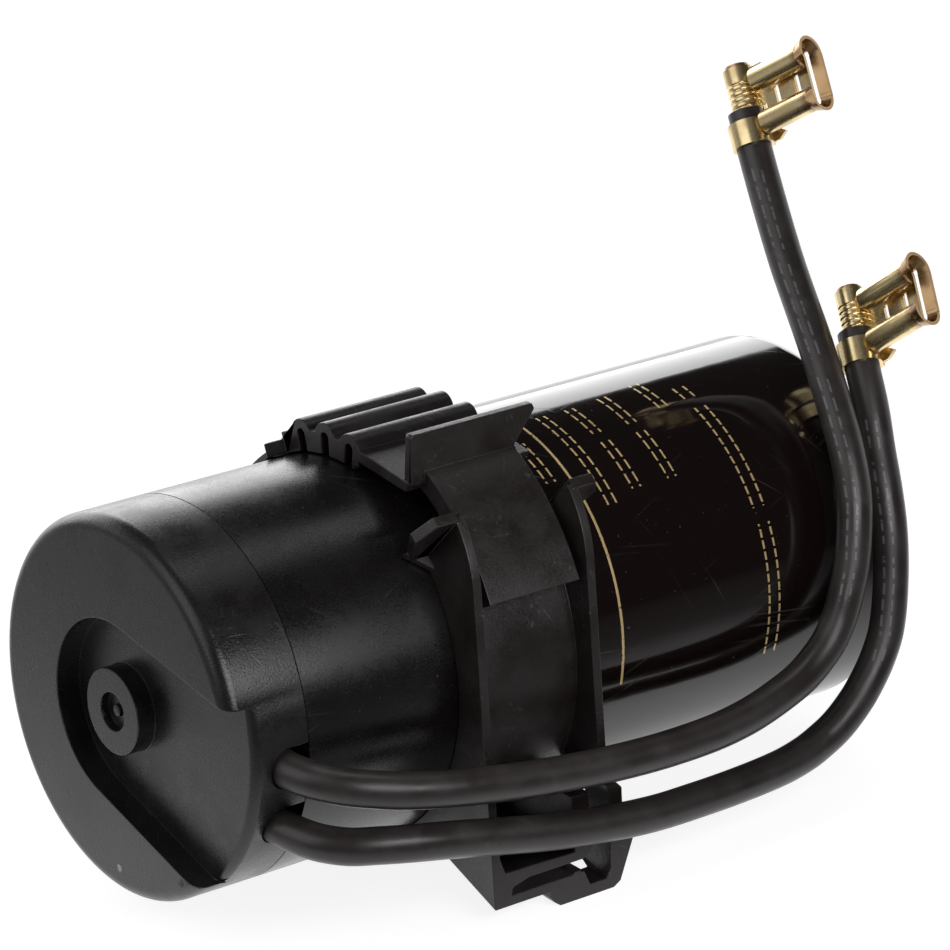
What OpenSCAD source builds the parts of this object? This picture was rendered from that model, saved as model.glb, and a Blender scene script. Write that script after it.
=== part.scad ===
// Motor start capacitor: sealed round case, end cover, snap-in strap clip and two flag leads.
// Millimetres. The case axis runs along X with the end cover at -X, and Z is up.
// The latch foot of the clip hangs on the -Y side, its lower face on the plane Z = 0.

/* [Case] */
// Outside diameter of the case and of the end cover
can_d = 38; // [30:0.5:60]
// Overall length, end cover included
total_len = 83; // [60:0.5:130]
// Rounding of the closed rear edge
rear_edge_r = 1.8; // [0.5:0.1:5]
// Height of the locating rim that carries the end cover
rim_h = 2.8; // [1.5:0.1:4]
// Wall of the locating rim
rim_wall = 1.5; // [1:0.1:3]

/* [End cover] */
// Length of the end cover up to the seam
cap_len = 8.8; // [7:0.1:14]
// Wall of the skirt
cap_wall = 1.8; // [1.2:0.1:3]
// Rounding of the front edge
cap_edge_r = 1.5; // [0.3:0.1:2.5]
// Depth of the recess in the front face
recess_depth = 2.6; // [1:0.1:3]
// Rounding of the recess floor at the rim
floor_edge_r = 1.0; // [0.3:0.1:1.5]
// Radius of the round part of the recess
recess_r = 9.2; // [6:0.1:12]
// Sideways place of the round part
recess_y = 0.55; // [-2:0.05:2]
// Drop of the round part below the case axis
recess_drop = 0.45; // [-2:0.05:2]
// Fall of the upper recess edge towards the leads in degrees
recess_up_a = 8.8; // [0:0.1:30]
// Fall of the lower recess edge towards the leads in degrees
recess_low_a = 15.6; // [0:0.1:30]
// Plastic left under the recess
recess_floor = 1.2; // [0.8:0.1:2]
// Diameter of the gate boss
boss_d = 8.6; // [5:0.1:12]
// Height of the gate boss over the recess floor
boss_h = 2.0; // [0.5:0.1:2.5]
// Sideways place of the gate boss
boss_y = 1.3; // [-3:0.1:3]
// Drop of the gate boss below the case axis
boss_drop = 0.8; // [-3:0.1:3]
// Diameter of the dimple in the boss
dimple_d = 3.8; // [2:0.1:6]
// Depth of the dimple
dimple_depth = 0.9; // [0.3:0.1:1.5]
// Diameter of the pip left in the dimple
pip_d = 1.2; // [0.6:0.1:2]
// Clearance of a lead in its notch
notch_clear = 0.25; // [0.1:0.05:0.5]
// Clearance of the cover on the locating rim
cap_clear = 0.05; // [0:0.05:0.3]

/* [Clip band] */
// Width of the clip along the case
clip_w = 14.6; // [10:0.1:25]
// Middle of the clip along X
clip_x = -7.95; // [-20:0.05:20]
// Clearance between the case and the band
clip_clear = 0.05; // [0:0.05:0.3]
// Wall of the band
band_wall = 1.05; // [1:0.05:3]
// Thickness of each edge fin
fin_t = 1.0; // [0.8:0.1:2]
// Height of the case axis over the lower face of the foot
axis_z = 20.6; // [18:0.1:32]
// Distance from the axis to the front of the foot at its lower edge
front_y = 25.3; // [22:0.1:34]
// Lean of the front in degrees
front_lean = 7.1; // [0:0.1:12]
// Height over the axis where the fin edge starts to curl in
fin_curl = 12.5; // [6:0.1:14]
// Radius of the far crescent fin
far_fin_r = 10; // [6:0.1:14]
// Drop of the far crescent fin below the case axis
far_fin_drop = 4; // [0:0.1:8]
// Angle of the ear plates from the top of the case
ear_a = 42; // [30:1:60]
// Thickness of the ear plates
ear_t = 1.1; // [0.8:0.1:2]
// Top radius of the ear plates
ear_r = 26.4; // [23:0.1:30]
// Half width of the ear plates at the widest place
ear_half = 10.9; // [9:0.1:14]
// Angle where the far end of the band begins
far_a = -25; // [-45:1:-22]

/* [Clip strap] */
// Wall of the bellows
bellows_wall = 1.0; // [0.5:0.05:1.2]
// Inner width of one hump
hump_in = 1.15; // [0.8:0.05:2]
// Top radius of the humps
hump_r = 22.4; // [21:0.1:25]
// Radius at the bottom of the grooves between the humps
groove_r = 21.3; // [20:0.1:24]
// Angle between two humps
hump_pitch = 10.7; // [8:0.1:14]
// Angle of the middle hump
hump_mid_a = -6.2; // [-12:0.1:0]
// Clearance of the strap over the case
strap_gap = 0.15; // [0.05:0.05:1]
// Distance from the axis to the front of the ridge
ridge_y = 11.1; // [8:0.1:14]
// Height of the ridge over the axis
ridge_h = 25.1; // [23:0.1:28]
// Thickness of the ridge
ridge_t = 0.9; // [0.6:0.1:3]
// Thickness of the plate between the last hump and the ridge
plate_t = 1.1; // [0.6:0.1:2]
// Width of the tongue
tongue_w = 10.8; // [6:0.1:13]
// Outer radius of the tongue
tongue_r = 23.9; // [22:0.1:25]
// Thickness of the tongue
tongue_t = 2.0; // [0.6:0.1:2]
// Angle of the tongue tip
tongue_a = 63; // [50:0.5:80]

/* [Latch foot] */
// Slope of the underside of the foot in degrees
foot_slope = 20; // [10:1:30]
// Height of the raised left half of the foot
foot_step = 1.6; // [0.8:0.1:3]
// Width of the foot without its barb
foot_w = 15.4; // [10:0.1:25]
// Reach of the barb past the foot
barb_out = 1.9; // [0.8:0.05:3]
// Depth of the latch finger
finger_depth = 4.9; // [3:0.1:7]
// Height of the top of the latch finger
finger_h = 10.4; // [8:0.1:13]

/* [Leads] */
// Diameter of the insulation
lead_d = 3.6; // [2:0.1:5]
// Diameter of the stranded conductor in the barrel
wire_d = 2.4; // [1:0.1:3]
// Thickness of the solder lugs
lug_t = 0.8; // [0.5:0.1:1.2]
// Width of the solder lugs
lug_w = 4.4; // [3:0.1:6]

/* [Flag receptacles] */
// Sheet thickness
sheet = 0.35; // [0.3:0.05:0.6]
// Width of the receptacle along the lead
flag_w = 7.1; // [6:0.1:9]
// Length of the receptacle in the plugging direction
flag_l = 6.4; // [5:0.1:9]
// Reach of the lip past the rolled edges
lip = 1.2; // [1:0.05:3]
// Flare of the mouth
flare = 0.5; // [0:0.05:0.8]
// Outside diameter of the rolled edges
roll_d = 2.5; // [2:0.1:3]
// Slot for the mating tab
tab_slot = 0.85; // [0.8:0.05:1]
// Length of the conductor barrel
barrel_l = 4.7; // [3:0.1:7]
// Length of the insulation grip
grip_l = 2.6; // [1.5:0.1:4]
// Bare insulation left between grip and barrel
grip_gap = 1.2; // [0.5:0.1:2]
// Twist of the upper receptacle about its lead
flag_twist_upper = -152; // [-180:1:180]
// Twist of the lower receptacle about its lead
flag_twist_lower = -149; // [-180:1:180]

/* [Hidden] */
$fn = 96;
can_r = can_d / 2;
bore_r = can_r + clip_clear;
band_r = bore_r + band_wall;
x_front = -total_len / 2;
x_rear = total_len / 2;
x_seam = x_front + cap_len;
x_under = x_front + recess_depth + recess_floor;
cap_in_r = can_r - cap_wall;
rim_r = cap_in_r - cap_clear;
clip_0 = clip_x - clip_w / 2;
clip_1 = clip_x + clip_w / 2;
foot_1 = clip_0 + foot_w;
lean = tan(front_lean);
ridge_a = asin(ridge_y / tongue_r);
strap_r = can_r + strap_gap;
lead_r = lead_d / 2;
notch_r = lead_r + notch_clear;
wire_r = wire_d / 2;
barrel_r = wire_r + sheet;
roll_r = roll_d / 2;
grip_r = lead_r + sheet;
flag_x0 = 2.25;
flag_z0 = -3.2;
flag_z1 = flag_z0 + flag_w;
flag_x1 = flag_x0 + flag_l;
barrel_set = grip_r - barrel_r - 0.05;
finger_gap_z = 1.0;
fin_set = 0.05;
foot_back = 11;
lug_x = x_seam - 2.9;
notch_x = x_seam - 2.25;

// Route of the upper lead from its lug to its receptacle
path_upper = [
    [-35.6, -4, 23.6], [-35.6, -8, 22.4], [-35.5, -12, 21.2], [-35.4, -15.4, 20.3],
    [-35, -18.4, 19.6], [-34, -20.9, 19.2], [-32.2, -23.1, 18.8], [-29.8, -24.7, 18.4],
    [-26.8, -25.7, 17.8], [-21.8, -26.4, 16.9], [-15.8, -26.5, 15.8], [-9.8, -26.5, 14.9],
    [-3.7, -26.5, 14.2], [2.7, -26.2, 13.6], [8.1, -25.8, 13.3], [12.5, -25.3, 13.2],
    [17, -24.6, 13.4], [21.3, -23.9, 14.1], [24.3, -23.5, 15], [26.5, -23.2, 16.2],
    [28.2, -23, 17.6], [29.5, -22.8, 19.4], [30.5, -22.6, 21.8], [31.8, -22, 25.4],
    [33.1, -20.5, 30.7], [33.9, -18.2, 35.1], [34.8, -14.9, 39.3], [36, -10.6, 43.8],
    [37, -7.2, 46.8], [37.8, -4.2, 49.7], [38.6, -1.3, 52.9], [39.9, 2.9, 57.6],
    [40.9, 6.5, 62.3]
];
// Route of the lower lead from its lug to its receptacle
path_lower = [
    [-35.6, -4, 16.4], [-35.6, -8, 15.4], [-35.5, -12, 14.4], [-35.3, -15.2, 13.7],
    [-34.8, -18.2, 13.2], [-33.6, -21.2, 12.8], [-31.6, -23.5, 12.6], [-29, -25.1, 12.6],
    [-26, -26, 12.3], [-21.8, -26.4, 11.6], [-15.8, -26.5, 10.3], [-9.7, -26.5, 9],
    [-3.6, -26.5, 8], [2.9, -26.3, 7.2], [8.5, -26, 6.9], [14.5, -25.7, 6.8],
    [20.5, -25.1, 6.8], [24, -24.7, 7.2], [26.3, -24.5, 7.9], [28.2, -24.5, 8.9],
    [30, -24.4, 10.2], [31.8, -24.2, 11.8], [34, -23.8, 14.4], [35.7, -23.2, 17.3],
    [37, -22.1, 22.1], [37.7, -20.9, 26.5], [38.2, -19.4, 30.2], [38.8, -17.5, 33.7],
    [39.4, -15.7, 37.3], [40.1, -13.5, 40.5], [41.4, -10.6, 43.5]
];
// Height of each lead where it leaves the cover
notch_z = [19.8, 13.5];

function unit(v) = v / norm(v);
function dir(p, i) = unit(p[min(i + 1, len(p) - 1)] - p[max(i - 1, 0)]);
function side(t) = unit(cross(t, [0.6, 0.5, -0.62]));
function ring(p, i, r, n) =
    let (t = dir(p, i), a = side(t), b = cross(t, a))
    [for (j = [0:n - 1]) p[i] + r * (cos(360 * j / n) * a + sin(360 * j / n) * b)];
function polar(u) = acos(u[2]);
function azimuth(u) = atan2(u[1], u[0]);

// Round tube along a route
module tube(p, r, n) {
    k = len(p);
    pts = [for (i = [0:k - 1]) for (q = ring(p, i, r, n)) q];
    walls = [
        for (i = [0:k - 2])
            for (j = [0:n - 1])
                let (a = i * n + j, b = i * n + (j + 1) % n)
                each [[a, a + n, b + n], [a, b + n, b]]
    ];
    first = [[for (j = [0:n - 1]) j]];
    last = [[for (j = [0:n - 1]) (k - 1) * n + n - 1 - j]];
    polyhedron(points = pts, faces = concat(walls, first, last));
}

// Extrusion of a Y-Z outline along X
module along_x(x0, x1) {
    translate([x0, 0, 0])
        rotate([90, 0, 90])
            linear_extrude(x1 - x0)
                children();
}

// Extrusion of an X-Z outline along Y
module along_y(y0, y1) {
    translate([0, y1, 0])
        rotate([90, 0, 0])
            linear_extrude(y1 - y0)
                children();
}

// Cylinder on the case axis
module axial(x0, x1, r) {
    translate([x0, 0, axis_z])
        rotate([0, 90, 0])
            cylinder(h = x1 - x0, r = r);
}

// Wedge from the axis between two angles, counted from the top towards -Y
module sector(a0, a1) {
    reach = 3 * can_r;
    rim = [for (i = [0:12]) let (a = a0 + (a1 - a0) * i / 12) reach * [-sin(a), cos(a)]];
    polygon(concat([[0, 0]], rim));
}

// Sealed case with the locating rim for the end cover
module can_body() {
    color([0.09, 0.09, 0.1])
        difference() {
            union() {
                translate([0, 0, axis_z])
                    rotate([0, 90, 0])
                        rotate_extrude()
                            can_half();
                difference() {
                    axial(x_seam - rim_h, x_seam + 0.5, rim_r);
                    axial(x_seam - rim_h - 1, x_seam, rim_r - rim_wall);
                }
            }
            translate([x_seam - rim_h - 1, -can_r, notch_z[1] - 2.9])
                cube([rim_h + 1, can_r, notch_z[0] - notch_z[1] + 5.8]);
        }
}

// Half section of the case, radius against place along the axis
module can_half() {
    translate([0, x_seam])
        square([can_r, total_len - cap_len - rear_edge_r]);
    translate([0, x_seam])
        square([can_r - rear_edge_r, total_len - cap_len]);
    translate([can_r - rear_edge_r, x_rear - rear_edge_r])
        circle(rear_edge_r);
}

// End cover
module end_cap() {
    color([0.12, 0.12, 0.12]) {
        difference() {
            translate([0, 0, axis_z])
                rotate([0, 90, 0])
                    rotate_extrude()
                        cap_half(x_front, can_r, cap_edge_r);
            axial(x_under, x_seam + 1, cap_in_r);
            translate([0, 0, axis_z])
                difference() {
                    along_x(x_front - 1, x_front + recess_depth + floor_edge_r)
                        recess_outline();
                    rotate([0, 90, 0])
                        rotate_extrude()
                            cap_half(x_front + recess_depth, can_r + 0.01, floor_edge_r);
                }
            lead_notch(notch_z[0]);
            lead_notch(notch_z[1]);
        }
        gate_boss();
    }
}

// Half section of a round plug from a place along the axis to the seam, with its edge rounded
module cap_half(x0, r, edge_r) {
    translate([0, x0 + edge_r])
        square([r, x_seam - x0 - edge_r]);
    translate([0, x0])
        square([r - edge_r, x_seam - x0]);
    translate([r - edge_r, x0 + edge_r])
        circle(edge_r);
}

// Recess outline: a round part that opens to the rim on the lead side
module recess_outline() {
    mid = [recess_y, -recess_drop];
    up = mid + recess_r * [-sin(recess_up_a), cos(recess_up_a)];
    low = mid + recess_r * [sin(recess_low_a), -cos(recess_low_a)];
    run = can_r + 4;
    translate(mid)
        circle(recess_r);
    polygon([
        up,
        up - run * [cos(recess_up_a), sin(recess_up_a)],
        low - run * [cos(recess_low_a), sin(recess_low_a)],
        low
    ]);
}

// Notch in the skirt, open at the seam
module lead_notch(z) {
    translate([notch_x, -can_r - 1, z])
        rotate([-90, 0, 0])
            cylinder(h = can_r - 7, r = notch_r);
    translate([notch_x, -can_r - 1, z - notch_r])
        cube([x_seam - notch_x + 1, can_r - 7, 2 * notch_r]);
}

// Gate boss with its dimple and pip
module gate_boss() {
    x_floor = x_front + recess_depth;
    translate([0, boss_y, -boss_drop]) {
        difference() {
            axial(x_floor - boss_h, x_floor + 0.3, boss_d / 2);
            axial(x_floor - boss_h - 1, x_floor - boss_h + dimple_depth, dimple_d / 2);
        }
        axial(x_floor - boss_h + dimple_depth / 2, x_floor, pip_d / 2);
    }
}

// Mounting clip, one moulding
module mounting_clip() {
    color([0.07, 0.07, 0.08]) {
        translate([0, 0, axis_z]) {
            along_x(clip_0, clip_1)
                band_outline();
            along_x(clip_0, clip_1)
                strap_outline();
            along_x(clip_x - tongue_w / 2, clip_x + tongue_w / 2)
                tongue_outline();
            along_x(clip_0, clip_0 + fin_t)
                near_fin(finger_h - finger_gap_z - axis_z);
            along_x(clip_1 - fin_t, clip_1)
                near_fin(finger_h + finger_gap_z - axis_z);
            along_x(clip_0, clip_0 + fin_t)
                far_fin();
            along_x(clip_1 - fin_t, clip_1)
                far_fin();
            ridge();
            ear(1);
            ear(-1);
            web(ear_a, 1, 1, band_wall - 0.4);
            web(ear_a, -1, 1, band_wall - 0.4);
            web(far_a, 1, -1, band_wall + 0.35);
            web(far_a, -1, -1, band_wall + 0.35);
        }
        latch_foot();
    }
}

// Band around the lower part of the case
module band_outline() {
    difference() {
        intersection() {
            circle(band_r);
            sector(ear_a + 0.6, far_a + 360);
        }
        circle(bore_r);
    }
}

// Strap with its three hollow humps, and the free plate that rises from it to the ridge
module strap_outline() {
    hump_w = hump_in + 2 * bellows_wall;
    last_a = hump_mid_a + hump_pitch;
    difference() {
        union() {
            intersection() {
                difference() {
                    circle(groove_r);
                    circle(strap_r);
                }
                sector(far_a - 1, last_a + 3);
            }
            polygon([
                on_ring(groove_r - plate_t, last_a + 2),
                on_ring(groove_r + 0.1, last_a + 2),
                on_ring(tongue_r - 0.8, ridge_a + 1),
                on_ring(tongue_r - 0.8 - plate_t, ridge_a + 1)
            ]);
            for (i = [-1:1])
                hump(hump_mid_a + i * hump_pitch, hump_w, hump_r, strap_r + 0.4);
        }
        for (i = [-1:1])
            hump(hump_mid_a + i * hump_pitch, hump_in, hump_r - bellows_wall, strap_r - 1);
    }
}

// Round-topped upright at one angle
module hump(a, w, r, r0) {
    rotate(a) {
        translate([-w / 2, r0])
            square([w, r - w / 2 - r0]);
        translate([0, r - w / 2])
            circle(w / 2);
    }
}

// Tongue that lies over the near end of the band
module tongue_outline() {
    difference() {
        intersection() {
            circle(tongue_r);
            sector(ridge_a - 3, tongue_a);
        }
        circle(tongue_r - tongue_t);
    }
}

// Distance from the axis to the leaning edge of the fins at a height over the axis
function fin_at(z) = front_y - fin_set - lean * (z + axis_z);

// Point at a radius and an angle from the top, in the Y-Z plane
function on_ring(r, a) = r * [-sin(a), cos(a)];

// Arc from a point and its heading to a second point
function arc(p, heading, q) =
    let (n = [heading[1], -heading[0]], c = q - p, across = c * n, ahead = c * heading)
    let (r = (c * c) / (2 * across), turn = 2 * atan2(across, ahead))
    [for (i = [0:10]) p + r * (sin(turn * i / 10) * heading + (1 - cos(turn * i / 10)) * n)];

// Edge fin on the near side, down to a given height under the axis
module near_fin(z_low) {
    tip = on_ring(ear_r - fin_set, ear_a + atan(ear_t / 2 / ear_r));
    heading = [sin(front_lean), cos(front_lean)];
    difference() {
        polygon(concat(
            [[0, 0], [0, z_low], [-fin_at(z_low), z_low]],
            arc([-fin_at(fin_curl), fin_curl], heading, tip)
        ));
        circle(bore_r);
    }
}

// Crescent fin on the far side
module far_fin() {
    difference() {
        intersection() {
            translate([front_y - far_fin_r, -far_fin_drop])
                circle(far_fin_r);
            sector(180, 359 + far_a);
        }
        circle(bore_r);
    }
}

// Finger ridge, upright at one end and flared at the other
module ridge() {
    root_z = sqrt(tongue_r * tongue_r - ridge_y * ridge_y);
    tongue_1 = clip_x + tongue_w / 2;
    along_y(-ridge_y, -ridge_y + ridge_t)
        polygon([
            [clip_0 + 0.1, root_z - 1.2],
            [tongue_1 - 0.05, root_z - 1.2],
            [tongue_1 - 0.05, root_z + 0.1],
            [clip_1 + 0.5, ridge_h - 0.6],
            [clip_1 + 0.2, ridge_h],
            [clip_0 + 0.4, ridge_h],
            [clip_0 + 0.2, ridge_h - 0.3]
        ]);
}

// Ear plate at one edge of the clip
module ear(s) {
    rotate([ear_a, 0, 0])
        along_y(-ear_t, 0)
            polygon([
                [clip_x + s * (clip_w / 2 - fin_t / 2), bore_r + 0.1],
                [clip_x + s * (clip_w / 2 + 1.6), bore_r + 0.1],
                [clip_x + s * ear_half, ear_r - 2.5],
                [clip_x + s * (ear_half - 1.4), ear_r],
                [clip_x + s * (clip_w / 2 - fin_t / 2), ear_r]
            ]);
}

// Triangular web at the foot of an ear
module web(a, s, down, t) {
    rotate([a, 0, 0])
        translate([0, 0, bore_r + 0.15])
            linear_extrude(t)
                polygon([
                    [clip_x + s * (clip_w / 2 - 0.3), -0.2 * down],
                    [clip_x + s * (clip_w / 2 + 2.4), -0.2 * down],
                    [clip_x + s * (clip_w / 2 - 0.3), -2.9 * down]
                ]);
}

// Latch foot with its slots and barbed finger
module latch_foot() {
    x_step = clip_0 + 6.8;
    difference() {
        along_y(-front_y, -foot_back)
            difference() {
                foot_outline();
                slot_outline();
                window_outline();
            }
        axial(clip_0 - 1, foot_1 + 3, bore_r);
        along_x(clip_0 - 1, foot_1 + 3)
            polygon([[-front_y - 1, 0], [-front_y, 0], [-front_y + lean * 20, 20], [-front_y - 1, 20]]);
        along_x(clip_0 - 1, x_step)
            sole_cut(foot_step);
        along_x(x_step, foot_1 + 3)
            sole_cut(0);
        translate([foot_1 - 2.3, -front_y + finger_depth, -1])
            cube([6, 20, finger_h + 2]);
    }
}

// Wedge under the sloping sole, from a height at the front edge
module sole_cut(z) {
    run = front_y - foot_back;
    polygon([
        [-front_y, z],
        [-foot_back, z + run * tan(foot_slope)],
        [-foot_back, -1],
        [-front_y, -1]
    ]);
}

// Front outline of the latch foot with the barb
module foot_outline() {
    polygon([
        [clip_0, foot_step],
        [clip_0 + 6.3, foot_step],
        [clip_0 + 7.2, 0.5],
        [clip_0 + 7.9, 0],
        [foot_1 - 0.9, 0],
        [foot_1, 0.5],
        [foot_1 + barb_out, 4.5],
        [foot_1 + barb_out - 0.1, 5.5],
        [foot_1 + 0.7, 6.3],
        [foot_1 + 0.8, 9.8],
        [foot_1 + 0.2, finger_h],
        [clip_0, finger_h]
    ]);
}

// L-shaped slot that frees the latch finger
module slot_outline() {
    polygon([
        [clip_0 + 2.1, 2.7],
        [clip_0 + 9.7, 2.7],
        [clip_0 + 9.8, 2.9],
        [clip_0 + 10.5, 2.9],
        [clip_0 + 10.6, 2.7],
        [foot_1 - 4.4, 2.7],
        [foot_1 - 3.8, 1.2],
        [foot_1 - 1.7, 1.2],
        [foot_1 - 1.2, 2.1],
        [foot_1 - 0.8, finger_h - 1],
        [foot_1 - 1.4, finger_h + 1],
        [foot_1 - 3.3, finger_h + 1],
        [foot_1 - 3.3, 4.6],
        [foot_1 - 4.3, 3.9],
        [clip_0 + 4.3, 3.9],
        [clip_0 + 2.3, 3.4]
    ]);
}

// Window above the shelf, open to the channel between the fins
module window_outline() {
    polygon([
        [clip_0 + 1.5, 5.1],
        [foot_1 - 5.4, 4.9],
        [foot_1 - 5.4, finger_h + 1],
        [clip_0 + fin_t, finger_h + 1],
        [clip_0 + fin_t, 6.6]
    ]);
}

// Solder lug on the header: rivet flange and upright tab that the lead butts against
module lug(p) {
    tilt = atan2(p[0][2] - p[1][2], p[0][1] - p[1][1]);
    translate([lug_x, p[0][1], p[0][2]])
        rotate([tilt, 0, 0]) {
            translate([-lead_r, 0, -lug_w / 2])
                cube([x_seam - lug_x + lead_r, lug_t, lug_w]);
            translate([x_seam - lug_x - lug_t, lug_t / 2, 0])
                rotate([0, 90, 0])
                    cylinder(h = lug_t, r = lug_w / 2 + 0.6);
        }
}

// Frame at the end of a lead, Z along the lead and X out of the receptacle
module at_end(p, twist) {
    u = unit(p[len(p) - 1] - p[len(p) - 2]);
    translate(p[len(p) - 1])
        rotate([0, polar(u), azimuth(u)])
            rotate([0, 0, twist])
                children();
}

// Flag receptacle with conductor barrel and insulation grip
module flag() {
    grip_z = -grip_gap - grip_l;
    difference() {
        union() {
            barrel();
            translate([0, 0, grip_z])
                cylinder(h = grip_l, r = grip_r);
            translate([-1.2, lead_r - 0.1, grip_z])
                cube([2.4, sheet + 0.1, 0.8 - grip_z]);
            translate([0, roll_r - sheet, 0.2])
                cube([flag_x0 + 0.5, sheet, barrel_l - 0.4]);
            tail(grip_z);
            along_x(flag_x0, flag_x1) {
                rolled_edge(flag_z0 + roll_r, -1);
                rolled_edge(flag_z1 - roll_r, 1);
            }
            flag_base();
            mouth();
        }
        translate([0, barrel_set, -0.01])
            cylinder(h = barrel_l + 1, r = wire_r);
        translate([0, 0, grip_z - 1])
            cylinder(h = 1 - grip_z, r = lead_r);
        translate([flag_x1 - 0.5, roll_r - sheet - 0.3, flag_z0 + 0.7])
            cube([0.6, sheet + 1, flag_w - 1.4]);
    }
}

// Conductor barrel with its crimp rings
module barrel() {
    ring_r = 0.2;
    ring_pitch = 0.62;
    translate([0, barrel_set, 0])
        difference() {
            cylinder(h = barrel_l, r = barrel_r);
            for (i = [0:4])
                translate([0, 0, ring_pitch * (i + 0.6)])
                    rotate_extrude()
                        translate([barrel_r + ring_r / 4, 0])
                            circle(ring_r);
        }
}

// Cut-off tail of the sheet strip at the grip
module tail(z) {
    along_y(lead_r - 0.45, lead_r - 0.05)
        polygon([
            [1.1, z + 0.1],
            [2.4, z + 0.1],
            [3.4, z + 0.7],
            [2.2, z + 1.5],
            [1.1, z + 1.5]
        ]);
}

// Base sheet with two slots and a raised detent
module flag_base() {
    mid = (flag_z0 + flag_z1) / 2;
    along_y(roll_r - sheet, roll_r)
        difference() {
            translate([flag_x0, flag_z0 + roll_r])
                square([flag_l, flag_w - 2 * roll_r]);
            for (x = [1.35, 4.05])
                translate([flag_x0 + x, mid - 1.1])
                    square([0.55, 2.2]);
        }
    translate([flag_x0 + 3.5, roll_r - sheet - 0.25, mid - 1])
        cube([0.35, 0.4, 2]);
}

// Flared mouth: the base and the outer halves of the rolls run on past the rolled edges
module mouth() {
    x0 = flag_x1 - 0.1;
    mouth_side(x0, flag_z1 - roll_r, 0.4);
    mouth_side(x0, flag_z0 + roll_r, 4.6);
    translate([0, 0, flag_z0 + roll_r])
        linear_extrude(flag_w - 2 * roll_r)
            polygon([
                [x0, roll_r - sheet - 0.03],
                [flag_x1 + lip, roll_r - sheet - 0.03 + flare],
                [flag_x1 + lip, roll_r - 0.02 + flare],
                [x0, roll_r - 0.02]
            ]);
}

// One flared side of the mouth, kept from a given distance below its middle
module mouth_side(x0, z, below) {
    h = lip + 0.05;
    translate([x0, 0, z])
        intersection() {
            rotate([0, 90, 0])
                difference() {
                    cylinder(h = h, r1 = roll_r + 0.03, r2 = roll_r + flare);
                    translate([0, 0, -0.01])
                        cylinder(h = h + 0.02, r1 = roll_r + 0.03 - sheet, r2 = roll_r + flare - sheet);
                }
            translate([-1, -2.5, -below])
                cube([h + 2, 5, 5]);
        }
}

// One rolled edge with its lip free over the base sheet
module rolled_edge(z, s) {
    gap = roll_r - sheet;
    translate([0, z])
        difference() {
            circle(roll_r);
            circle(gap);
            translate([gap - tab_slot, s > 0 ? -roll_r : 0])
                square([tab_slot, roll_r]);
        }
}

// Bare strands in a barrel
module strands() {
    translate([0, barrel_set, 0])
        cylinder(h = barrel_l + 0.4, r = wire_r);
}

// Bare strands of the upper lead in its barrel
module conductor_upper() {
    color([0.8, 0.5, 0.3])
        at_end(path_upper, flag_twist_upper)
            strands();
}

// Bare strands of the lower lead in its barrel
module conductor_lower() {
    color([0.8, 0.5, 0.3])
        at_end(path_lower, flag_twist_lower)
            strands();
}

// Receptacle of the upper lead
module flag_upper() {
    color([0.85, 0.7, 0.35])
        at_end(path_upper, flag_twist_upper)
            flag();
}

// Receptacle of the lower lead
module flag_lower() {
    color([0.85, 0.7, 0.35])
        at_end(path_lower, flag_twist_lower)
            flag();
}

// Upper solder lug
module terminal_upper() {
    color([0.75, 0.72, 0.62])
        lug(path_upper);
}

// Lower solder lug
module terminal_lower() {
    color([0.75, 0.72, 0.62])
        lug(path_lower);
}

// Insulated upper lead
module lead_upper() {
    color([0.13, 0.13, 0.13])
        tube(path_upper, lead_r, 8);
}

// Insulated lower lead
module lead_lower() {
    color([0.13, 0.13, 0.13])
        tube(path_lower, lead_r, 8);
}

can_body();
end_cap();
mounting_clip();
terminal_upper();
terminal_lower();
lead_upper();
lead_lower();
conductor_upper();
conductor_lower();
flag_upper();
flag_lower();
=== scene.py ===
import math

import bmesh
import bpy
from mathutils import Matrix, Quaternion, Vector


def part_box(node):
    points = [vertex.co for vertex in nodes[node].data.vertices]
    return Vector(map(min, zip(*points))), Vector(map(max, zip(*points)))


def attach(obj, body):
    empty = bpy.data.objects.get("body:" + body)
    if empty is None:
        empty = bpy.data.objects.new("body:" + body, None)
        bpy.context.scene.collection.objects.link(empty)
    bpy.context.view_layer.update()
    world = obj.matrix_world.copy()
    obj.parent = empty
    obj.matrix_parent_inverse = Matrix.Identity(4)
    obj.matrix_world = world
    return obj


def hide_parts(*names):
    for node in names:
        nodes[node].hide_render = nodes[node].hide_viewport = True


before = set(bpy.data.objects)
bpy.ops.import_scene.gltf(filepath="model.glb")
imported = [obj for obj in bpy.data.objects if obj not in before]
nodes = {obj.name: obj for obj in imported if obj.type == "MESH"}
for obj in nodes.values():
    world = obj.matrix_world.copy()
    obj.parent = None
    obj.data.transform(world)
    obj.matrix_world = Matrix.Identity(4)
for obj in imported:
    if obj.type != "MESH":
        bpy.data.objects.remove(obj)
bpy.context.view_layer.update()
scene = bpy.context.scene

MM = 0.001

# Places of the case, from the end cap in model.glb
COVER_LOW, COVER_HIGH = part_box("end_cap")
AXIS_Z = (COVER_LOW[2] + COVER_HIGH[2]) / 2
CASE_R = (COVER_HIGH[2] - COVER_LOW[2]) / 2

# Camera of the photograph: focal length in pixels of a 950 pixel wide image
IMAGE_PX = 950
FOCAL_PX = 5303.25
SENSOR_MM = 36.0
CAMERA_PLACE = Vector((-298.06, -378.19, 227.46)) * MM
CAMERA_AIM = Vector((0.57638, 0.72774, -0.37173))
CAMERA_ROLL = math.radians(0.725)
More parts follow.
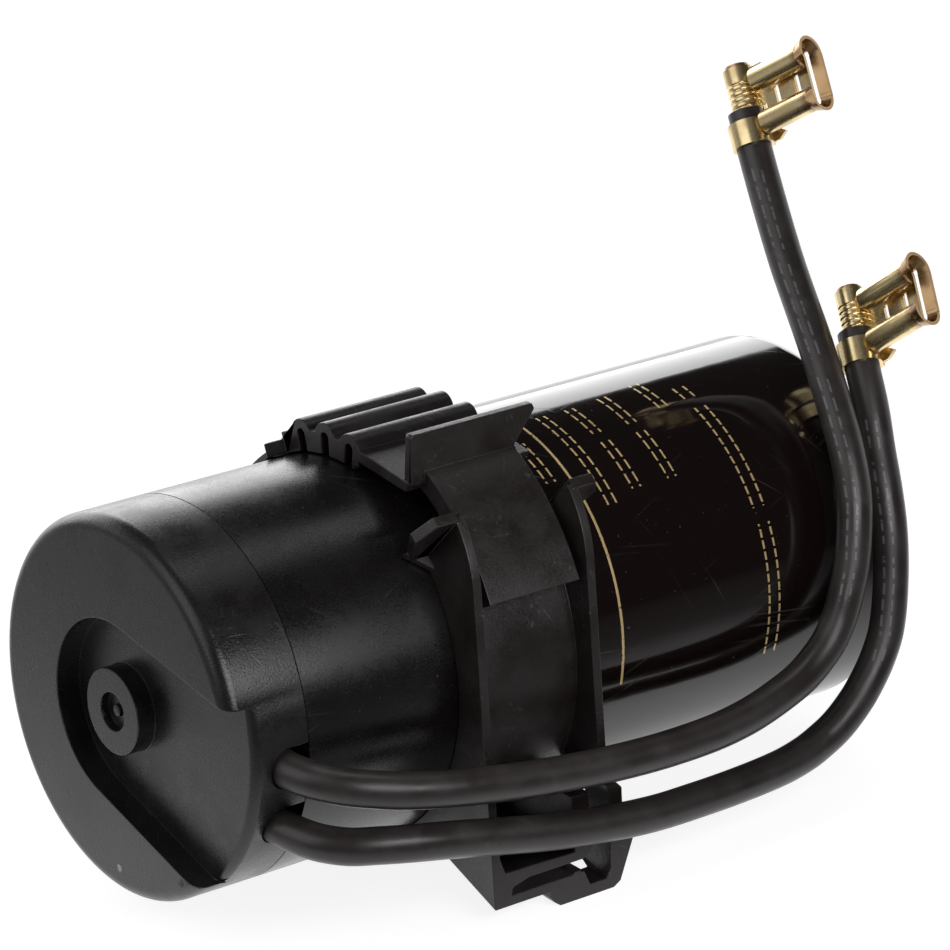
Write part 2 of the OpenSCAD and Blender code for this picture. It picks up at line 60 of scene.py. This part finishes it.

# Leads: insulation, and routes in millimetres from the lug to the receptacle
LEAD_D = 3.6 * MM
ROUTE_UPPER = [
    (-35.6, -4, 23.6), (-35.6, -8, 22.4), (-35.5, -12, 21.2), (-35.4, -15.4, 20.3),
    (-35, -18.4, 19.6), (-34, -20.9, 19.2), (-32.2, -23.1, 18.8), (-29.8, -24.7, 18.4),
    (-26.8, -25.7, 17.8), (-21.8, -26.4, 16.9), (-15.8, -26.5, 15.8), (-9.8, -26.5, 14.9),
    (-3.7, -26.5, 14.2), (2.7, -26.2, 13.6), (8.1, -25.8, 13.3), (12.5, -25.3, 13.2),
    (17, -24.6, 13.4), (21.3, -23.9, 14.1), (24.3, -23.5, 15), (26.5, -23.2, 16.2),
    (28.2, -23, 17.6), (29.5, -22.8, 19.4), (30.5, -22.6, 21.8), (31.8, -22, 25.4),
    (33.1, -20.5, 30.7), (33.9, -18.2, 35.1), (34.8, -14.9, 39.3), (36, -10.6, 43.8),
    (37, -7.2, 46.8), (37.8, -4.2, 49.7), (38.6, -1.3, 52.9), (39.9, 2.9, 57.6),
    (40.9, 6.5, 62.3),
]
ROUTE_LOWER = [
    (-35.6, -4, 16.4), (-35.6, -8, 15.4), (-35.5, -12, 14.4), (-35.3, -15.2, 13.7),
    (-34.8, -18.2, 13.2), (-33.6, -21.2, 12.8), (-31.6, -23.5, 12.6), (-29, -25.1, 12.6),
    (-26, -26, 12.3), (-21.8, -26.4, 11.6), (-15.8, -26.5, 10.3), (-9.7, -26.5, 9),
    (-3.6, -26.5, 8), (2.9, -26.3, 7.2), (8.5, -26, 6.9), (14.5, -25.7, 6.8),
    (20.5, -25.1, 6.8), (24, -24.7, 7.2), (26.3, -24.5, 7.9), (28.2, -24.5, 8.9),
    (30, -24.4, 10.2), (31.8, -24.2, 11.8), (34, -23.8, 14.4), (35.7, -23.2, 17.3),
    (37, -22.1, 22.1), (37.7, -20.9, 26.5), (38.2, -19.4, 30.2), (38.8, -17.5, 33.7),
    (39.4, -15.7, 37.3), (40.1, -13.5, 40.5), (41.4, -10.6, 43.5),
]

# Faint marking on the rising part of each lead, two rows of dashes: where that part starts along
# the case in millimetres, the ways sideways and forward on it, the sizes of the rows, the steps
# with the filled share of each, and the heights between which each lead is marked
RISING_X = 20
MARK_ACROSS = (0.811, -0.551, 0)
MARK_FORWARD = (-0.62, -0.784, 0)
MARK_SHIFT = -0.4 * MM
MARK_GAP = 0.9 * MM
MARK_LINE = 0.22 * MM
MARK_STEPS = ((1.5 * MM, 0.7), (8.6 * MM, 0.86))
MARK_UPPER = (22 * MM, 58 * MM)
MARK_LOWER = (15 * MM, 37 * MM)

# Plain gold print on the case, in millimetres along the case and degrees from its top:
# place along the case, first angle, last angle, gap of its two lines, line width, dash angle
PRINT = [
    (5.0, 4, 99, 0, 0.3, 0),
    (24.4, 10, 17, 1.3, 0.24, 3.4), (24.4, 21, 58, 1.3, 0.24, 3.4), (24.4, 63, 105, 1.3, 0.24, 3.4),
    (20.8, 2, 17, 1.0, 0.22, 4.6),
    (16.0, 4, 20, 1.0, 0.22, 4.6), (16.0, 24, 42, 1.0, 0.22, 4.6),
    (11.5, 6, 20, 1.0, 0.22, 4.6), (11.5, 24, 42, 1.0, 0.22, 4.6),
    (7.9, 6, 45, 1.0, 0.22, 4.6),
    (2.7, 16, 33, 1.0, 0.22, 4.6),
]
PRINT_SHARE = 0.74

# The satin front of the case turns glossy between these places, under the clip
SATIN_END = (-9 * MM, -8 * MM)

# Small marks of the cover: nick on its face with its inner and outer radius, parting line on its skirt
NICK = (-41.5 * MM, -0.5 * MM, 4.3 * MM)
NICK_R = (0.2 * MM, 0.5 * MM)
PARTING_ANGLE = math.radians(76.3)
PARTING_X = (-36.8 * MM, -33 * MM)
PARTING_HALF = 0.12 * MM

# Mouths of the receptacles: place and the way each faces, and the depths below the rim between which the
# painted brown shade at each mouth fades out
MOUTH_UPPER = (Vector((44, -1, 67.9)) * MM, Vector((0.267, -0.792, 0.549)))
MOUTH_LOWER = (Vector((44.1, -17.7, 49.7)) * MM, Vector((0.229, -0.748, 0.623)))
MOUTH_DEPTH = (2.4 * MM, 1.2 * MM)

# Rounding of edges, and the angles that count as flat and as an edge
CLIP_EDGE = 0.1 * MM
COVER_EDGE = 0.15 * MM
FLAT_ANGLE = math.radians(0.5)
EDGE_ANGLE = math.radians(32)
WELD = 1e-6

# Colours, the first of two the darker or duller
SATIN = ((0.004, 0.003, 0.003), (0.007, 0.0058, 0.0058))
GLOSS = ((0.0068, 0.0032, 0.0032), (0.0084, 0.0042, 0.0042))
COVER = ((0.008, 0.0065, 0.0065), (0.013, 0.0115, 0.0115))
CLIP = ((0.012, 0.0078, 0.0078), (0.019, 0.0148, 0.0148))
INSULATION = ((0.025, 0.0195, 0.0195), (0.038, 0.032, 0.032))
BRASS = ((0.58, 0.44, 0.23), (0.86, 0.69, 0.39))
COPPER = ((0.42, 0.22, 0.13), (0.72, 0.43, 0.26))
TIN = ((0.42, 0.41, 0.38), (0.62, 0.6, 0.55))
GOLD = (0.84, 0.62, 0.3)
# painted brown shade in the mouths of the receptacles
MOUTH_SHADE_BROWN = (0.37, 0.22, 0.11)
LEAD_MARK = (0.13, 0.13, 0.13)
RUBBED = (0.075, 0.07, 0.07)
CASE_HAIR = (0.07, 0.07, 0.07)
CASE_DUST = (0.11, 0.11, 0.11)
SPECK = (0.09, 0.09, 0.09)
SCUFF = (0.1, 0.1, 0.1)
NICK_PALE = (0.4, 0.38, 0.38)
PARTING_BLACK = (0.001, 0.001, 0.001)

# Directions of hairlines, as turns about X, Y and Z
CASE_HAIRLINES = ((0, 0, 0.15), (0, 0, -0.4), (0, 0, 1.1), (0, 0, 0.7))
MOULDING_HAIRLINES = ((0.2, 0.5, 0.3), (0.9, -0.4, 1.0), (0.4, 0.9, -0.6), (0, 0.1, 0))
METAL_HAIRLINES = ((0.5, 0.4, 0.2), (0.1, 1.0, 0.6))

# Floor: its size, its grey, its own light for the camera, and where its light in mirrored rays
# fades out towards the front and falls to a level towards the left
FLOOR_SIZE = 8
FLOOR_GREY = 0.36
FLOOR_SEEN = 0.86
FLOOR_FRONT = (-0.075, -0.015)
FLOOR_LEFT = (-0.085, -0.04)
FLOOR_LEFT_LEVEL = 0.2

# Backdrop: heights and directions between which it ends, and the levels of the room at the left and right
BACKDROP_TOP = (0.4, 0.46)
BACKDROP_WAY = (0.62, 0.784, 0)
BACKDROP_EDGE = (0.0, 0.35)
ROOM_EDGE = (-0.5, 0.1)
ROOM_LEFT = 0.15
ROOM_RIGHT = 0.035

# Lamps: name, place, point that it faces, width, height, watts
LAMPS = [
    ("back_panel", (0.6, 0.7, 0.244), (0.6, 0, 0.244), 1.7, 0.468, 5.8),
    ("left_panel", (-0.8, 0.05, 0.5), (0, 0, 0.02), 0.8, 0.8, 2.3),
    ("front_card", (-0.0125, -0.11, 0.076), (-0.0125, 0, 0.076), 0.085, 0.05, 0.07),
    ("top_card", (0.06, 0.01, 0.28), (0.06, 0.01, 0), 0.21, 0.08, 0.062),
]


def photograph_camera():
    """The camera that the photograph was taken with."""
    lens = bpy.data.cameras.new("photo_camera")
    lens.sensor_width = SENSOR_MM
    lens.lens = FOCAL_PX * SENSOR_MM / IMAGE_PX
    lens.clip_start = 0.01
    lens.clip_end = 20
    camera = bpy.data.objects.new("photo_camera", lens)
    scene.collection.objects.link(camera)
    camera.location = CAMERA_PLACE
    camera.rotation_mode = "QUATERNION"
    aim = CAMERA_AIM.to_track_quat("-Z", "Y")
    camera.rotation_quaternion = aim @ Quaternion((0, 0, 1), CAMERA_ROLL)
    scene.camera = camera


def place(name, mesh, slot, *replaced):
    """A finished piece on the part, standing for the solids that it replaces."""
    piece = bpy.data.objects.new(name, mesh)
    scene.collection.objects.link(piece)
    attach(piece, "root")
    if replaced:
        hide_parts(*replaced)
    return piece


def lead(name, route, node):
    """Insulated lead along its route."""
    curve = bpy.data.curves.new(name, "CURVE")
    curve.dimensions = "3D"
    curve.bevel_depth = 1
    curve.bevel_resolution = 7
    curve.resolution_u = 10
    curve.use_fill_caps = True
    spline = curve.splines.new("BEZIER")
    spline.bezier_points.add(len(route) - 1)
    spots = [Vector(spot) * MM for spot in route]
    for i, point in enumerate(spline.bezier_points):
        before, here, after = spots[max(i - 1, 0)], spots[i], spots[min(i + 1, len(spots) - 1)]
        heading = (after - before).normalized()
        point.handle_left_type = "FREE"
        point.handle_right_type = "FREE"
        point.co = here
        point.radius = LEAD_D / 2
        point.handle_left = here - heading * (here - before).length / 3
        point.handle_right = here + heading * (after - here).length / 3
    return place(name, curve, "lead_black", node)


def softened(node, name, slot, radius):
    """A copy of a solid, with its edges rounded if a radius is given."""
    bm = bmesh.new()
    bm.from_mesh(nodes[node].data)
    bmesh.ops.remove_doubles(bm, verts=bm.verts, dist=WELD)
    bmesh.ops.dissolve_limit(bm, angle_limit=FLAT_ANGLE, verts=bm.verts, edges=bm.edges)
    if radius:
        sharp = [e for e in bm.edges if e.is_manifold and e.calc_face_angle() > EDGE_ANGLE]
        bmesh.ops.bevel(
            bm, geom=sharp, offset=radius, offset_type="OFFSET", segments=2,
            profile=0.5, affect="EDGES", clamp_overlap=False, material=-1,
        )
    mesh = bpy.data.meshes.new(name)
    bm.to_mesh(mesh)
    bm.free()
    mesh.shade_smooth()
    mesh.set_sharp_from_angle(angle=EDGE_ANGLE)
    piece = place(name, mesh, slot, node)
    weighted = piece.modifiers.new("flat_faces", "WEIGHTED_NORMAL")
    weighted.keep_sharp = True
    return piece


class Tree:
    """Node tree of a material or a world, with short ways to add to it."""

    def __init__(self, tree, coordinates="Object"):
        self.tree = tree
        self.spot = self.add("TexCoord").outputs[coordinates]

    def add(self, kind):
        return self.tree.nodes.new("ShaderNode" + kind)

    def feed(self, socket, value):
        if isinstance(value, bpy.types.NodeSocket):
            self.tree.links.new(value, socket)
        else:
            socket.default_value = value

    def work(self, kind, operation, values):
        node = self.add(kind)
        node.operation = operation
        for socket, value in zip(node.inputs, values):
            self.feed(socket, value)
        return node.outputs

    def math(self, operation, *values):
        return self.work("Math", operation, values)[0]

    def vector(self, operation, *values):
        return self.work("VectorMath", operation, values)

    def times(self, first, *others):
        for value in others:
            first = self.math("MULTIPLY", first, value)
        return first

    def plus(self, first, *others):
        for value in others:
            first = self.math("ADD", first, value)
        return first

    def split(self):
        node = self.add("SeparateXYZ")
        self.feed(node.inputs[0], self.spot)
        return node.outputs

    def between(self, value, low, high, out_low=0.0, out_high=1.0):
        """A smooth step of a value from one level to another."""
        node = self.add("MapRange")
        node.interpolation_type = "SMOOTHSTEP"
        for socket, part in zip(node.inputs, (value, low, high, out_low, out_high)):
            self.feed(socket, part)
        return node.outputs[0]


class Shade(Tree):
    """Material of a piece, with the patterns that the pieces share."""

    def __init__(self, name):
        self.material = bpy.data.materials.new(name)
        self.material.use_nodes = True
        super().__init__(self.material.node_tree)
        self.surface = self.tree.nodes["Principled BSDF"]

    def stretch(self, by, turn=(0, 0, 0), base=None):
        """Coordinates in which a pattern is drawn out along the turned axes."""
        node = self.add("Mapping")
        node.vector_type = "TEXTURE"
        self.feed(node.inputs["Vector"], base or self.spot)
        node.inputs["Scale"].default_value = by
        node.inputs["Rotation"].default_value = turn
        return node.outputs[0]

    def round_case(self):
        """Place along the case and angle from its top."""
        x, y, z = self.split()
        angle = self.math("ARCTAN2", self.times(y, -1.0), self.math("SUBTRACT", z, AXIS_Z))
        return x, angle

    def noise(self, scale, detail=3.0, roughness=0.55, vector=None):
        node = self.add("TexNoise")
        self.feed(node.inputs["Vector"], vector or self.spot)
        node.inputs["Scale"].default_value = scale
        node.inputs["Detail"].default_value = detail
        node.inputs["Roughness"].default_value = roughness
        return node.outputs["Fac"]

    def blend(self, factor, first, second):
        """A colour between two colours."""
        node = self.add("Mix")
        node.data_type = "RGBA"
        sockets = (node.inputs[0], node.inputs[6], node.inputs[7])
        for socket, value in zip(sockets, (factor, first, second)):
            self.feed(socket, (*value, 1) if isinstance(value, tuple) else value)
        return node.outputs[2]

    def hairlines(self, scale, length, turns, base=None):
        """Short straight scratches in some directions."""
        lines = 0.0
        for turn in turns:
            drawn = self.noise(scale, 1.0, 0.4, self.stretch((length, 1, 1), turn, base))
            lines = self.math("MAXIMUM", lines, self.between(drawn, 0.68, 0.74))
        return lines

    def bump(self, height, strength, distance):
        node = self.add("Bump")
        self.feed(node.inputs["Height"], height)
        node.inputs["Strength"].default_value = strength
        node.inputs["Distance"].default_value = distance
        self.feed(self.surface.inputs["Normal"], node.outputs[0])

    def finish(self, colour, roughness, metallic=0.0):
        self.feed(self.surface.inputs["Base Color"], colour)
        self.feed(self.surface.inputs["Roughness"], roughness)
        self.feed(self.surface.inputs["Metallic"], metallic)
        return self.material


def gold_print(s, x, angle):
    """Plain lines and dashes in the places of the print, a little worn."""
    bars = 0.0
    for along, first, last, gap, wide, dash in PRINT:
        middle, half = math.radians(first + last) / 2, math.radians(last - first) / 2
        off = s.math("ABSOLUTE", s.math("SUBTRACT", x, along * MM))
        line = s.math("COMPARE", off, gap / 2 * MM, wide / 2 * MM)
        bar = s.times(line, s.math("COMPARE", angle, middle, half))
        if dash:
            step = s.math("FRACT", s.times(angle, 1 / math.radians(dash)))
            bar = s.times(bar, s.math("LESS_THAN", step, PRINT_SHARE))
        bars = s.math("MAXIMUM", bars, bar)
    return s.times(bars, s.between(s.noise(2600), 0.28, 0.4))


def case_material():
    """Glossy black case behind the clip and satin in front of it, with a plain gold print."""
    s = Shade("case_black")
    x, angle = s.round_case()
    rolled = s.add("CombineXYZ")
    s.feed(rolled.inputs[0], x)
    s.feed(rolled.inputs[1], s.times(angle, CASE_R))
    flat = rolled.outputs[0]
    front = s.between(x, *SATIN_END, 1.0, 0.0)
    back = s.math("SUBTRACT", 1.0, front)

    gold = gold_print(s, x, angle)
    grain = s.noise(5200, 3, 0.6)
    cloud = s.noise(110, 5, 0.6)
    hair = s.hairlines(2400, 45, CASE_HAIRLINES, flat)
    hair = s.times(hair, s.between(s.noise(130, 4), 0.46, 0.66))
    dust = s.between(s.noise(1900, 2), 0.73, 0.77)

    colour = s.blend(front, s.blend(cloud, *GLOSS), s.blend(cloud, *SATIN))
    colour = s.blend(s.times(hair, 0.3), colour, CASE_HAIR)
    colour = s.blend(s.times(dust, 0.5), colour, CASE_DUST)
    colour = s.blend(gold, colour, GOLD)

    smear = s.between(s.noise(45, 5, 0.6, s.stretch((1, 2.5, 2.5))), 0.35, 0.75, 0.05, 0.13)
    rough_back = s.plus(smear, s.times(hair, 0.1))
    mottle = s.plus(s.times(grain, 0.45), s.times(cloud, 0.55))
    rough_front = s.between(mottle, 0.36, 0.64, 0.2, 0.36)
    rough = s.plus(s.times(rough_front, front), s.times(rough_back, back))
    rough = s.math("MAXIMUM", rough, s.times(gold, 0.34))

    fine = s.times(grain, front, 0.4)
    wave = s.times(s.noise(75, 3, 0.55, s.stretch((1.7, 1, 1), (0, 0, 0.5), flat)), 1.6)
    ripple = s.times(s.noise(420, 2, 0.5, s.stretch((3, 1, 1), (0, 0, -0.4), flat)), 0.16)
    swell = s.times(s.plus(wave, ripple), back)
    s.bump(s.plus(fine, swell, s.times(hair, -0.08)), strength=0.3, distance=0.1 * MM)
    return s.finish(colour, rough, s.times(gold, 0.45))


def moulded_material(name, shades, rough_range, grain_scale, scuff, marks=False):
    """Satin black moulding with a fine grain, soft mottling, pale specks and scuffs."""
    s = Shade(name)
    grain = s.noise(grain_scale, 3, 0.6)
    cloud = s.noise(230, 5, 0.6)
    specks = s.between(s.noise(grain_scale / 2, 2), 0.72, 0.77)
    hair = s.hairlines(2200, 22, MOULDING_HAIRLINES)
    hair = s.times(hair, s.between(s.noise(140, 4), 0.48, 0.66))

    colour = s.blend(s.between(cloud, 0.3, 0.7), *shades)
    colour = s.blend(s.times(specks, 0.4), colour, SPECK)
    colour = s.blend(s.times(hair, scuff), colour, SCUFF)
    mottle = s.plus(s.times(grain, 0.4), s.times(cloud, 0.6))
    rough = s.between(mottle, 0.36, 0.64, *rough_range)
    rise = s.plus(grain, s.times(hair, -0.4))
    if marks:
        x, angle = s.round_case()
        middle, half = sum(PARTING_X) / 2, (PARTING_X[1] - PARTING_X[0]) / 2
        line = s.times(
            s.math("COMPARE", angle, PARTING_ANGLE, PARTING_HALF / CASE_R),
            s.math("COMPARE", x, middle, half),
        )
        nick = s.between(s.vector("DISTANCE", s.spot, NICK)["Value"], *NICK_R, 1.0, 0.0)
        colour = s.blend(line, s.blend(nick, colour, NICK_PALE), PARTING_BLACK)
        rough = s.math("MAXIMUM", rough, s.times(line, 0.8))
        rise = s.plus(rise, s.times(nick, 3.0))
    s.bump(rise, strength=0.35, distance=0.07 * MM)
    return s.finish(colour, rough)


def lead_marking(s, route, low, high):
    """Rows of dashes along the rising part of a lead, found from its middle at each height."""
    rising = [spot for spot in route if spot[0] > RISING_X]
    bottom, top = rising[0][2], rising[-1][2]
    # The ramp holds colours from 0 to 1, so places are shifted and divided by their reach
    reach, shift = 50, 30
    ramp = s.add("ValToRGB")
    stops = ramp.color_ramp.elements
    for i, (x, y, z) in enumerate(rising):
        at = (z - bottom) / (top - bottom)
        stop = stops[0] if i == 0 else stops[-1] if at == 1 else stops.new(at)
        stop.color = (x / reach, (y + shift) / reach, 0, 1)
    height = s.split()[2]
    climb = s.math("SUBTRACT", height, bottom * MM)
    s.feed(ramp.inputs[0], s.math("DIVIDE", climb, (top - bottom) * MM))
    span, start = (reach * MM, reach * MM, 0), (0, -shift * MM, 0)
    middle = s.vector("MULTIPLY_ADD", ramp.outputs[0], span, start)[0]
    off = s.vector("SUBTRACT", s.spot, middle)[0]

    across = s.math("SUBTRACT", s.vector("DOT_PRODUCT", off, MARK_ACROSS)["Value"], MARK_SHIFT)
    forward = s.vector("DOT_PRODUCT", off, MARK_FORWARD)["Value"]
    rows = s.times(
        s.math("COMPARE", s.math("ABSOLUTE", across), MARK_GAP / 2, MARK_LINE / 2),
        s.math("GREATER_THAN", forward, 0.0),
        s.math("COMPARE", height, (low + high) / 2, (high - low) / 2),
    )
    for step, share in MARK_STEPS:
        part = s.math("FRACT", s.math("DIVIDE", height, step))
        rows = s.times(rows, s.math("LESS_THAN", part, share))
    return s.times(rows, s.between(s.noise(2400), 0.3, 0.5))


def lead_material(name, route, marked):
    """Semi-matt insulation with rubbed places and a faint marking."""
    s = Shade(name)
    grain = s.noise(3200)
    cloud = s.between(s.noise(220, 5, 0.6), 0.3, 0.7)
    rubbed = s.between(s.noise(330, 4), 0.56, 0.74)
    colour = s.blend(cloud, *INSULATION)
    colour = s.blend(s.times(rubbed, 0.4), colour, RUBBED)
    colour = s.blend(s.times(lead_marking(s, route, *marked), 0.8), colour, LEAD_MARK)
    rough = s.plus(s.times(cloud, 0.14), 0.28)
    s.bump(s.plus(grain, s.times(rubbed, 0.5)), strength=0.25, distance=0.05 * MM)
    return s.finish(colour, rough)


def metal_material(name, shades, rough_range, grain, mouth=None):
    """Rolled sheet or wire with a faint draw grain, stains and small nicks, and painted brown shade at a
    mouth.
    """
    s = Shade(name)
    dull, bright = shades
    drawn = s.noise(1600, 2, 0.5, s.stretch(grain))
    stain = s.between(s.noise(300), 0.38, 0.7)
    nick = s.hairlines(3000, 14, METAL_HAIRLINES)
    colour = s.blend(s.times(stain, 0.7), bright, dull)
    colour = s.blend(s.times(nick, 0.2), colour, dull)
    rough = s.plus(s.between(stain, 0.0, 1.0, *rough_range), s.times(drawn, 0.04))
    if mouth:
        rim, axis = mouth
        level = rim.dot(axis)
        depth = s.vector("DOT_PRODUCT", s.spot, axis)["Value"]
        # painted shade: the mouth and its inside, down to a depth below the rim, are darkened to brown
        mouth_shade = s.between(depth, level - MOUTH_DEPTH[0], level - MOUTH_DEPTH[1])
        colour = s.blend(s.times(mouth_shade, 0.85), colour, MOUTH_SHADE_BROWN)
    s.bump(s.plus(s.times(drawn, 0.2), s.times(nick, -0.4)), strength=0.03, distance=0.03 * MM)
    return s.finish(colour, rough, 1.0)


def dress(material, *pieces):
    for piece in pieces:
        piece.data.materials.clear()
        piece.data.materials.append(material)


def lamp(name, spot, aim, wide, tall, watts):
    """Soft studio lamp."""
    light = bpy.data.lights.new(name, "AREA")
    light.shape = "RECTANGLE"
    light.size = wide
    light.size_y = tall
    light.energy = watts
    item = bpy.data.objects.new(name, light)
    scene.collection.objects.link(item)
    item.location = spot
    item.rotation_mode = "QUATERNION"
    item.rotation_quaternion = (Vector(aim) - Vector(spot)).to_track_quat("-Z", "Y")


def studio_floor():
    """White floor that keeps the shadow of the part, in mirrored rays bright only close to it."""
    bpy.ops.mesh.primitive_plane_add(size=FLOOR_SIZE)
    floor = bpy.context.object
    floor.name = "floor"
    material = bpy.data.materials.new("floor_white")
    material.use_nodes = True
    material.node_tree.nodes.clear()
    s = Tree(material.node_tree)
    x, y, z = s.split()
    near = s.between(y, *FLOOR_FRONT)
    left = s.between(x, *FLOOR_LEFT, FLOOR_LEFT_LEVEL, 1.0)
    path = s.add("LightPath").outputs
    mirrored = s.math("MAXIMUM", path["Is Glossy Ray"], path["Is Transmission Ray"])
    level = s.math("MULTIPLY_ADD", path["Is Camera Ray"], FLOOR_SEEN, s.times(mirrored, near, left))
    glow = s.add("Emission")
    s.feed(glow.inputs["Strength"], level)
    paper = s.add("BsdfDiffuse")
    s.feed(paper.inputs["Color"], (FLOOR_GREY, FLOOR_GREY, FLOOR_GREY, 1))
    both = s.add("AddShader")
    s.feed(both.inputs[0], paper.outputs[0])
    s.feed(both.inputs[1], glow.outputs[0])
    s.feed(s.add("OutputMaterial").inputs["Surface"], both.outputs[0])
    dress(material, floor)


def studio_world():
    """White backdrop up to a height behind the part, and a dim room over and before it."""
    world = bpy.data.worlds.new("studio")
    scene.world = world
    world.use_nodes = True
    s = Tree(world.node_tree, "Generated")
    x, y, z = s.split()
    low = s.between(z, *BACKDROP_TOP, 1.0, 0.0)
    behind = s.between(s.vector("DOT_PRODUCT", s.spot, BACKDROP_WAY)["Value"], *BACKDROP_EDGE)
    room = s.between(x, *ROOM_EDGE, ROOM_LEFT, ROOM_RIGHT)
    missing = s.math("SUBTRACT", 1.0, room)
    sky = s.tree.nodes["Background"]
    s.feed(sky.inputs["Color"], (1, 1, 1, 1))
    s.feed(sky.inputs["Strength"], s.plus(room, s.times(low, behind, missing)))


photograph_camera()
lead_upper = lead("lead_wire_upper", ROUTE_UPPER, "lead_upper")
lead_lower = lead("lead_wire_lower", ROUTE_LOWER, "lead_lower")
clip = softened("mounting_clip", "strap_clip", "clip_black", CLIP_EDGE)
cover = softened("end_cap", "end_cover", "cover_black", COVER_EDGE)
flag_u = softened("flag_upper", "receptacle_upper", "brass_sheet", 0)
flag_l = softened("flag_lower", "receptacle_lower", "brass_sheet", 0)

dress(case_material(), nodes["can_body"])
dress(moulded_material("cover_black", COVER, (0.22, 0.36), 5200, 0.12, marks=True), cover)
dress(moulded_material("clip_black", CLIP, (0.3, 0.48), 3800, 0.3), clip)
dress(lead_material("lead_black_upper", ROUTE_UPPER, MARK_UPPER), lead_upper)
dress(lead_material("lead_black_lower", ROUTE_LOWER, MARK_LOWER), lead_lower)
dress(metal_material("brass_upper", BRASS, (0.22, 0.3), (4, 1, 1), MOUTH_UPPER), flag_u)
dress(metal_material("brass_lower", BRASS, (0.22, 0.3), (4, 1, 1), MOUTH_LOWER), flag_l)
strand = metal_material("strand", COPPER, (0.24, 0.4), (1, 1, 4))
dress(strand, nodes["conductor_upper"], nodes["conductor_lower"])
tinned = metal_material("tinned_lug", TIN, (0.26, 0.42), (4, 1, 1))
dress(tinned, nodes["terminal_upper"], nodes["terminal_lower"])

studio_floor()
studio_world()
for row in LAMPS:
    lamp(*row)

scene.view_settings.view_transform = "Standard"

bpy.context.view_layer.update()
